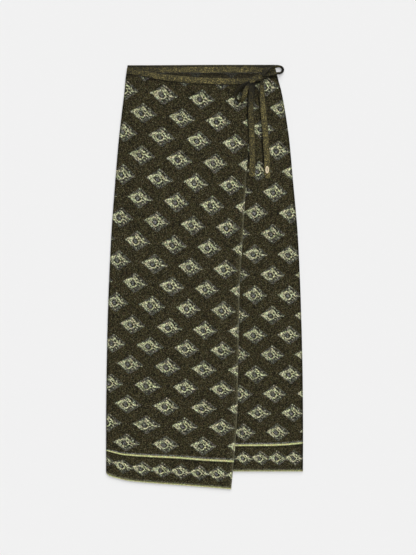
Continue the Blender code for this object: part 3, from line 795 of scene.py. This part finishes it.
def makePanel(name, plan, materials):
    # sewn, for the left and right sides: 0 rounds both faces, -1 only the lower one, 1 only the upper one
    acrossOffset, acrossShare = gridLines(plan["across"])
    alongOffset, alongShare = (part[:, None] for part in gridLines(plan["along"]))
    down = alongShare * plan["bottom"](0) + acrossOffset * 0
    for _ in range(6):    # each side's place depends on the other's, so the grid settles in rounds
        start = plan["left"](down)
        x = start + acrossOffset + acrossShare * (plan["right"](down) - start)
        start = plan["top"](x)
        down = start + alongOffset + alongShare * (plan["bottom"](x) - start)
    fromLeft, fromRight = x - plan["left"](down), plan["right"](down) - x
    fromTop, fromHem = down - plan["top"](x), plan["bottom"](x) - down
    lowerShare = rounding(np.minimum(fromTop, fromHem))
    upperShare = lowerShare.copy()
    for distance, sewn in ((fromLeft, plan["sewn"][0]), (fromRight, plan["sewn"][1])):
        if sewn <= 0:
            lowerShare = np.minimum(lowerShare, rounding(distance))
        if sewn >= 0:
            upperShare = np.minimum(upperShare, rounding(distance))
    half = plan.get("thickness", skirt["cloth"]) / 2
    middle = plan["level"](x, down) + half
    lower = np.stack([x, toY(down), middle - lowerShare * half], -1)
    upper = np.stack([x, toY(down), middle + upperShare * half], -1)
    place = np.stack(plan["pattern"](x, down), -1)
    tone = plan["tone"](x, down, fromLeft, fromRight, fromTop, fromHem)
    return makeShell(name, lower, upper, place, place, tone, materials)


# Painted shade at the cloth's edges. A turned edge: its width, and its tone where it turns under
turnedEdgeShade = {"side": (0.0030, 0.45), "seam": (0.002, 0.5), "backSeam": (0.002, 0.6)}
# painted shade on the under front, beside the wrap edge
wrapEdgeShade = {"depth": 0.25, "right": 0.002, "width": 0.0035}    # on the under front, beside the wrap edge
underHem = {"tone": 0.90, "rise": (0.0060, 0.0085)}
# painted highlight along the over front's free wrap edge
wrapLight = {"bands": ((0.19, 0.0018), (0.03, 0.011)), "from": (0.18, 0.30)}    # strength and width, down


def edgeShade(distance, kind):
    width, dark = turnedEdgeShade[kind]
    return riseFrom(dark, distance, width * 0.3, width)


# How the over front lies: up over the under front, down past the bands, and off the back's hem
overLie = {"rise": (-0.178, -0.136), "bands": (0.050, 0.085), "backHem": (0.8975, 0.9190), "hemLift": 0.0016}


def overLevel(x, down):
    over = rampBetween(x, *overLie["rise"])
    level = onBack + over * (onUnderFront - onBack)
    level += over * (onUnderBand - onUnderFront) * (1 - rampBetween(down, *overLie["bands"]))
    free = overLie["hemLift"]    # the free hem stays a little off the table
    return free + (level - free) * (1 - rampBetween(down, *overLie["backHem"])) + relief(x, down)


def backHem(x):
    return skirt["backLength"] + 0 * x


def overPattern(x, down):
    return patternPlace(x, down, through(overHem, x), overStations, overCourses, overWales, (0, 3, 7))


def underPattern(x, down):
    return patternPlace(x, down, backHem(x), underStations, underCourses, underWales, (2, 4, 6))


# painted shade on the under front: at its turned edges, beside the wrap edge, beneath the bow and beside the
# ties; a little darker near its hem
def underTone(x, down, left, right, top, hem):
    beside = (x - through(wrapEdge, down) - wrapEdgeShade["right"]) / wrapEdgeShade["width"]
    tone = edgeShade(right, "side") * edgeShade(top, "seam")
    tone *= 1 - wrapEdgeShade["depth"] * np.exp(-beside ** 2)
    tone *= shadeIn(x, down, bowShades) * besideTies(x, down)
    return tone * riseFrom(underHem["tone"], hem, *underHem["rise"])


# painted shade at the over front's turned edges, beside the ties and round the left loop, with a painted
# highlight along its wrap edge
def overTone(x, down, left, right, top, hem):
    tone = edgeShade(left, "side") * edgeShade(top, "seam")
    tone *= besideTies(x, down) * shadeIn(x, down, loopShades)
    light = sum(strength * np.exp(-(right / width) ** 2) for strength, width in wrapLight["bands"])
    return tone * (1 + rampBetween(down, *wrapLight["from"]) * light)


backPanel = {
    "left": leftSide, "right": rightSide,
    "top": lambda x: skirt["backBand"] + skirt["gap"] + 0 * x,
    "bottom": backHem,
    "across": 60, "along": 120, "sewn": (-1, -1),
    "level": lambda x, down: 0 * x,
    "pattern": lambda x, down: (x + 0.22, (skirt["backLength"] - down) * 1.02),
    "tone": lambda x, down, left, right, top, hem: edgeShade(top, "backSeam"),
}
underPanel = {
    "left": lambda down: skirt["hiddenEdge"] + 0 * down, "right": rightSide,
    "top": lambda x: through(underSeam, x),
    "bottom": backHem,
    "across": 66, "along": 170, "sewn": (0, 1),
    "level": lambda x, down: onBack + relief(x, down),
    "pattern": underPattern,
    "tone": underTone,
}
overPanel = {
    "left": leftSide, "right": lambda down: through(wrapEdge, down),
    "top": lambda x: through(overSeam, x),
    "bottom": lambda x: through(overHem, x),
    "across": 72, "along": 190, "sewn": (1, 0),
    "level": overLevel,
    "pattern": overPattern,
    "tone": overTone,
}


def flatSize(obj):
    # half of a closed shell's surface is its cloth
    return sum(face.area for face in obj.data.polygons) / 2


faceUp = [jacquardFace, jacquardReverse]
faceDown = [jacquardReverse, jacquardFace]
back = finishPiece(makePanel("backPanel", backPanel, faceDown), "jacquard_knit", "back_panel")
under = finishPiece(makePanel("underFrontPanel", underPanel, faceUp), "jacquard_knit", "under_front_panel")
over = finishPiece(makePanel("overFrontPanel", overPanel, faceUp), "jacquard_knit", "over_front_panel")
for piece in (back, under, over):
    print(piece.name, "cloth area", round(flatSize(piece), 4), "m2")


strap = {
    "across": 11,    # points across its face
    "offsetPower": 0.75,    # points closer together at the edges
    "thickPower": 0.45,    # rounder edges below 1, and sharper above
    "edgeThickness": 0.25,    # share of the thickness at the very edge
    "leastWidth": 0.35,    # a tie that is drawn together gets thicker, down to this share,
    "gather": -0.6,    # by this power of it
    "reverseShift": (0.5, 0.031),    # the lower face shows other stitches
    # painted shade along the strap's edges
    "paintedEdgeShade": (0.40, 0.0003, 0.0016),    # tone at the very edge, and where it starts and stops rising
}


def runLength(points):
    return np.concatenate([[0], np.cumsum(np.linalg.norm(np.diff(points, axis=0), axis=1))])


def makeStrap(name, points, width, level):
    # flat strap along points of (x, down, rise, roll, width share, tone of painted shade), with rounded edges
    x, down, rise, roll, share, shade = points.T
    width = width * share
    thickness = skirt["rib"] * np.clip(share, strap["leastWidth"], 1) ** strap["gather"]
    turn = np.radians(roll)
    centre = np.stack([x, toY(down), level + rise], -1)
    centre[:, 2] += np.abs(np.sin(turn)) * width / 2 + np.abs(np.cos(turn)) * thickness / 2
    forward = np.gradient(centre, axis=0)
    forward /= np.linalg.norm(forward, axis=1, keepdims=True)
    side = np.cross((0, 0, 1), forward)
    side /= np.linalg.norm(side, axis=1, keepdims=True)
    up = np.cross(forward, side)
    across = np.cos(turn)[:, None] * side + np.sin(turn)[:, None] * up
    face = np.cross(forward, across)
    angles = np.linspace(-math.pi / 2, math.pi / 2, strap["across"])
    offsets = np.sign(np.sin(angles)) * np.abs(np.sin(angles)) ** strap["offsetPower"] * 0.5
    thick = np.clip(np.cos(angles), 0, 1) ** strap["thickPower"]
    thick[[0, -1]] = strap["edgeThickness"]
    line = centre[:, None] + (offsets[:, None] * width[:, None, None]) * across[:, None]
    halfThick = thick[:, None] * thickness[:, None, None] / 2 * face[:, None]
    length = runLength(centre)
    place = np.stack(np.broadcast_arrays(length[:, None], offsets * width[:, None]), -1)
    tone = shade[:, None] * (1 + 0 * offsets)
    dark, *rise = strap["paintedEdgeShade"]
    for edge in (offsets + 0.5, 0.5 - offsets):
        tone = tone * riseFrom(dark, edge * width[:, None], *rise)
    lower, upper = line - halfThick, line + halfThick
    return makeShell(name, lower, upper, place + strap["reverseShift"], place, tone, [ribKnit]), length[-1]


def route(rows, step):
    # smooth run through rows that start with x and down, with points about a step apart
    rows = np.array(rows, float)
    length = runLength(rows[:, :2])
    at = np.linspace(0, length[-1], max(3, round(length[-1] / step) + 1))
    slopes = np.gradient(rows, length, axis=0)
    i = np.clip(np.searchsorted(length, at) - 1, 0, len(length) - 2)
    span = (length[i + 1] - length[i])[:, None]
    return between(rows, slopes, span, i, (at - length[i])[:, None] / span)


def bandPoints(seam, ends, heights, count):
    # points of a front's band, whose lower edge follows the panel's seam
    x = np.linspace(ends[0], ends[1], count)
    down = through(seam, x)
    slope = np.gradient(down, x)
    out = (skirt["frontBand"] / 2 + skirt["gap"]) / np.sqrt(1 + slope ** 2)
    centreX = x + slope * out
    rise, tone = through(heights, centreX), through(frontBandPaintedShade, x)
    return np.stack([centreX, down - out, rise, 0 * x, 0 * x + 1, tone], -1)


def onCloth(points):
    # the bow rides on the cloth's ridges
    points[:, 2] += relief(points[:, 0], points[:, 1])
    return points


def addStrap(name, points, width, level, node):
    obj, length = makeStrap(name, points, width, level)
    finishPiece(obj, "rib_knit", node)


# painted shade along the back band: darkest at its left end and beside the bow
backBandPaintedShade = (  # x, tone
    (-0.170, 0.45), (-0.106, 0.46), (-0.088, 0.64), (-0.060, 0.75), (-0.020, 0.80), (0.030, 0.92),
    (0.070, 0.88), (0.095, 0.72), (0.112, 0.62), (0.122, 0.46), (0.135, 0.38), (0.156, 0.38),
)
# painted shade along the front bands: darker at their left ends and towards the bow
frontBandPaintedShade = (  # x, tone
    (-0.172, 0.50), (-0.145, 0.55), (-0.120, 0.75), (-0.060, 0.86), (0.030, 0.96), (0.050, 0.88),
    (0.070, 0.62), (0.085, 0.50), (0.110, 0.50), (0.160, 0.40),
)


# Painted shade under the back band's rolled top edge, and a painted highlight on the edge itself; more
# painted shade along its foot
rolled = {"dark": 0.20, "rise": (0.0032, 0.0056), "light": 0.55, "lit": (0.0024, 0.0014)}
bandFootShade = {"dark": 0.6, "rise": (0.0002, 0.0012)}


def backBandShade(x, down, left, right, top, hem):
    tone = riseFrom(rolled["dark"], top, *rolled["rise"]) + rolled["light"] * rampBetween(top, *rolled["lit"])
    return through(backBandPaintedShade, x) * tone * riseFrom(bandFootShade["dark"], hem, *bandFootShade["rise"])


backBandPlan = {
    "left": leftSide, "right": rightSide,
    "top": lambda x: -0.0009 * rampBetween(x, -0.150, 0.050),    # the edge rises a little to the right
    "bottom": lambda x: skirt["backBand"] + 0 * x,
    "across": 90, "along": 14, "sewn": (0, 0), "thickness": skirt["rib"],
    "level": lambda x, down: 0 * x,
    "pattern": lambda x, down: (x + 0.3, down - 0.0084),
    "tone": backBandShade,
}
backBand = finishPiece(makePanel("backWaistband", backBandPlan, [ribKnit]), "rib_knit", "back_waistband")
underHeights = ((0.112, onBack), (0.125, onBackBand))    # x, height: it goes up on the back band
points = bandPoints(underSeam, (skirt["hiddenEdge"], 0.1572), underHeights, 100)
addStrap("underFrontWaistband", points, skirt["frontBand"], 0, "under_front_waistband")
overHeights = (
    (-0.150, onBackBand), (-0.118, onUnderBand), (0.078, onUnderBand), (0.0955, onUnderBand + 0.0036),
)
points = bandPoints(overSeam, (-0.1712, 0.0955), overHeights, 120)
points = np.concatenate([points[:-1], route([points[-1], *bow["overTie"]], 0.0022)])
addStrap("overFrontWaistband", points, skirt["frontBand"], 0, "over_front_waistband")
for name, level, node, restsOn in (
    ("bowLoopLeft", onOverFront, "bow_loop_left", ["overFrontPanel"]),
    ("bowLoopRight", 0, "bow_loop_right", ["backWaistband", "floor"]),
    ("tieTailLeft", onUnderFront, "tie_tail_left", ["underFrontPanel"]),
    ("tieTailRight", onUnderFront, "tie_tail_right", ["underFrontPanel"]),
):
    addStrap(name, onCloth(route(bow[name], 0.002)), skirt["tie"], level, node)
print("bands and ties ready")


knot = {
    "centre": (0.1204, 0.0312), "lean": 15, "length": 0.0165, "halfWidth": 0.0050, "halfHeight": 0.0040,
    "base": 0.0050,
    "fullness": 2.6,    # higher is more of a barrel
    "waist": (0.14, 0.15, 0.35),    # how much narrower, where along it, and over what share
    "folds": 0.12, "foldTurns": 6.5, "foldSway": 1.3,
    "ribPlace": (0.1, 0.8),    # where the rib's stitches start along it, and their share round it
    # tone: painted shade of the knot
    "tone": 0.80, "sides": 48, "rings": 37,
}


def buildKnot():
    # the tie wrapped round itself: a barrel along the band's direction, with folds that run round it
    around = np.linspace(0, 2 * math.pi, knot["sides"] + 1)[:-1, None]
    along = np.linspace(-1, 1, knot["rings"])[None, :]
    swell = (1 - np.abs(along) ** knot["fullness"]) ** 0.5
    narrower, place, spread = knot["waist"]
    waist = 1 - narrower * np.exp(-((along - place) / spread) ** 2)
    wave = np.sin(knot["foldTurns"] * along + knot["foldSway"] * np.sin(around))
    folds = 1 + knot["folds"] * wave * np.clip(np.sin(around) + 0.4, 0, 1)
    radius = np.clip(swell * waist * folds, 0.02, None)
    across = np.cos(around) * radius * knot["halfWidth"]
    height = knot["base"] + knot["halfHeight"] * (1 + np.sin(around) * radius)
    length = along * knot["length"] / 2 + 0 * around
    turn = math.radians(knot["lean"])
    x = knot["centre"][0] + length * math.cos(turn) - across * math.sin(turn)
    y = toY(knot["centre"][1]) + length * math.sin(turn) + across * math.cos(turn)
    points = np.stack([x, y, height], -1).reshape(-1, 3)
    here = np.arange(x.size).reshape(x.shape)
    there = np.roll(here, -1, axis=0)
    wall = np.stack([here[:, :-1], there[:, :-1], there[:, 1:], here[:, 1:]], -1).reshape(-1, 4)
    faces = wall.tolist() + [here[:, 0].tolist(), here[::-1, -1].tolist()]
    start, share = knot["ribPlace"]
    uv = np.stack([length + start, around * knot["halfWidth"] * share + 0 * length], -1).reshape(-1, 2)
    # painted shade: darker towards the narrow ends and in the folds, lighter on the folds' crests
    tone = np.clip(knot["tone"] * (0.55 + 0.45 * swell) * (0.9 + 4 * (folds - 1)), 0.2, 1)
    obj = clothPiece("tieKnot", points, faces, uv, tone.reshape(-1), [ribKnit])
    bpy.ops.object.shade_smooth()
    return finishPiece(obj, "rib_knit", "tie_knot")


tieKnot = buildKnot()
print("knot ready")


plate = {
    "halfWidth": 0.0043, "halfLength": 0.0083, "thickness": 0.0021, "middle": (0.1372, 0.2304),
    "sides": 48, "rounded": 0.0004,
    # the top's steps inwards: inset, lift, and stretch of what is inside, in shares of the sizes above
    "steps": (
        (0.14, 0.12, (0.95, 1.02)),
        (0.30, 0.05, (0.80, 1.10)),
        (0.12, -0.40, (0.62, 1.10)),
        (0.08, -0.05, (1, 1)),
    ),
}


def buildPlate():
    # an oval disc with a rounded shoulder and one shallow groove
    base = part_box("tie_plate")[0][2]
    bpy.ops.mesh.primitive_cylinder_add(vertices=plate["sides"], radius=1, depth=1, location=(0, 0, 0.5))
    obj = bpy.context.object
    obj.name = "tiePlate"
    bpy.ops.object.transform_apply(location=True, rotation=True, scale=True)
    bpy.ops.object.mode_set(mode="EDIT")
    bpy.ops.mesh.select_mode(type="FACE")
    bpy.ops.mesh.select_all(action="DESELECT")
    bpy.ops.object.mode_set(mode="OBJECT")
    for face in obj.data.polygons:
        face.select = face.normal.z > 0.9
    bpy.ops.object.mode_set(mode="EDIT")
    for inset, lift, (wider, longer) in plate["steps"]:
        bpy.ops.mesh.inset(thickness=inset, depth=0)
        bpy.ops.transform.translate(value=(0, 0, lift))
        bpy.ops.transform.resize(value=(wider, longer, 1), center_override=(0, 0, 0))
    bpy.ops.mesh.select_all(action="SELECT")
    bpy.ops.transform.resize(
        value=(plate["halfWidth"], plate["halfLength"], plate["thickness"]), center_override=(0, 0, 0))
    bpy.ops.transform.translate(value=(plate["middle"][0], toY(plate["middle"][1]), base))
    bpy.ops.object.mode_set(mode="OBJECT")
    bevel = obj.modifiers.new("softEdges", "BEVEL")
    bevel.width = plate["rounded"]
    bevel.segments = 3
    bevel.limit_method = "ANGLE"
    bpy.ops.object.modifier_apply(modifier="softEdges")
    bpy.ops.object.shade_smooth_by_angle(angle=math.radians(40))
    obj.data.materials.append(satinGold)
    return finishPiece(obj, "plate_metal", "tie_plate")


buildPlate()
print("plate ready")


print("knot cloth area", round(flatSize(tieKnot), 6))
